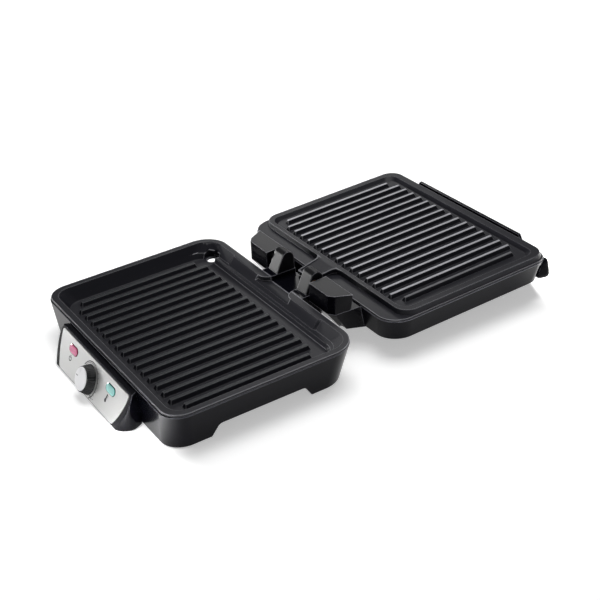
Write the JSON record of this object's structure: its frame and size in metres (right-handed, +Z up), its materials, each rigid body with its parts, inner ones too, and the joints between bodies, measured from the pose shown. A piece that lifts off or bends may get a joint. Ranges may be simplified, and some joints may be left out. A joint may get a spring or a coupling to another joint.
{
  "type": "contact grill",
  "caption": "Contact grill opened flat: two ribbed non-stick plates in gloss black shells on a floating hinge, with a thermostat knob and a bowed handle.",
  "frame": {"origin": "on the table under the middle of the opened grill's box", "axes": "+Z up; the control panel faces -Y, the opened lid lies towards +Y, +X is to the user's right"},
  "size_m": [0.2702, 0.4642, 0.059],
  "materials": {
    "nonstick_plate": "matt black non-stick coating on cast aluminium",
    "gloss_shell": "polished black heat-proof plastic",
    "satin_cover": "satin dark grey plastic",
    "fascia": "silver lacquered plate",
    "knob_plastic": "moulded black plastic",
    "knob_silver": "bright silver disc",
    "red_lens": "red clear plastic",
    "green_lens": "pale green clear plastic",
    "lamp_holder": "pale moulded plastic",
    "bakelite": "brown moulded resin",
    "steel": "zinc plated steel",
    "sheath": "oxidised steel sheath",
    "reflector": "bright sheet aluminium",
    "bush": "sintered bronze",
    "rubber": "soft black rubber",
    "porcelain": "white glazed insulator"
  },
  "bodies": {
    "base": {"lower_plate": "nonstick_plate", "base_housing": "gloss_shell", "base_bottom_cover": "steel", "lower_heating_element": "sheath", "lower_reflector": "reflector", "plate_screws": "steel", "cover_screws": "steel", "foot_pads": "rubber", "control_bezel": "gloss_shell", "fascia_plate": "fascia", "power_lens": "red_lens", "ready_lens": "green_lens", "power_lamp": "lamp_holder", "ready_lamp": "lamp_holder", "thermostat_body": "bakelite", "hinge_saddle_right": "gloss_shell", "hinge_saddle_left": "gloss_shell", "hinge_bush_right": "bush", "hinge_bush_left": "bush", "bezel_screws": "steel", "saddle_screws": "steel", "thermal_fuse": "porcelain", "cord_gland": "rubber", "terminal_block": "porcelain"},
    "hinge_pins": {"hinge_pin_right": "steel", "hinge_pin_left": "steel"},
    "lid": {"lid_plate": "nonstick_plate", "lid_housing": "gloss_shell", "arm_cover_right": "satin_cover", "arm_cover_left": "satin_cover", "lid_heating_element": "sheath", "lid_reflector": "reflector", "lid_plate_screws": "steel", "handle": "gloss_shell", "handle_screws": "steel", "handle_rests": "rubber", "arm_cover_screws": "steel"},
    "knob": {"knob_skirt": "knob_plastic", "knob_cap": "knob_silver", "thermostat_shaft": "steel"}
  },
  "joints": [
    {"name": "lid_hinge", "type": "hinge", "parent": "base", "child": "hinge_pins", "pos_m": [0, 0.00099, 0.048], "axis": [1, 0, 0], "range_deg": [0, 178.59]},
    {"name": "lid_float", "type": "slide", "parent": "hinge_pins", "child": "lid", "axis": [0, -0.0246, 0.9997], "range_m": [0, 0.014]},
    {"name": "thermostat_knob", "type": "hinge", "parent": "base", "child": "knob", "pos_m": [0, -0.21936, 0.01523], "axis": [0, -0.891, 0.454], "range_deg": [-270, 0]}
  ]
}
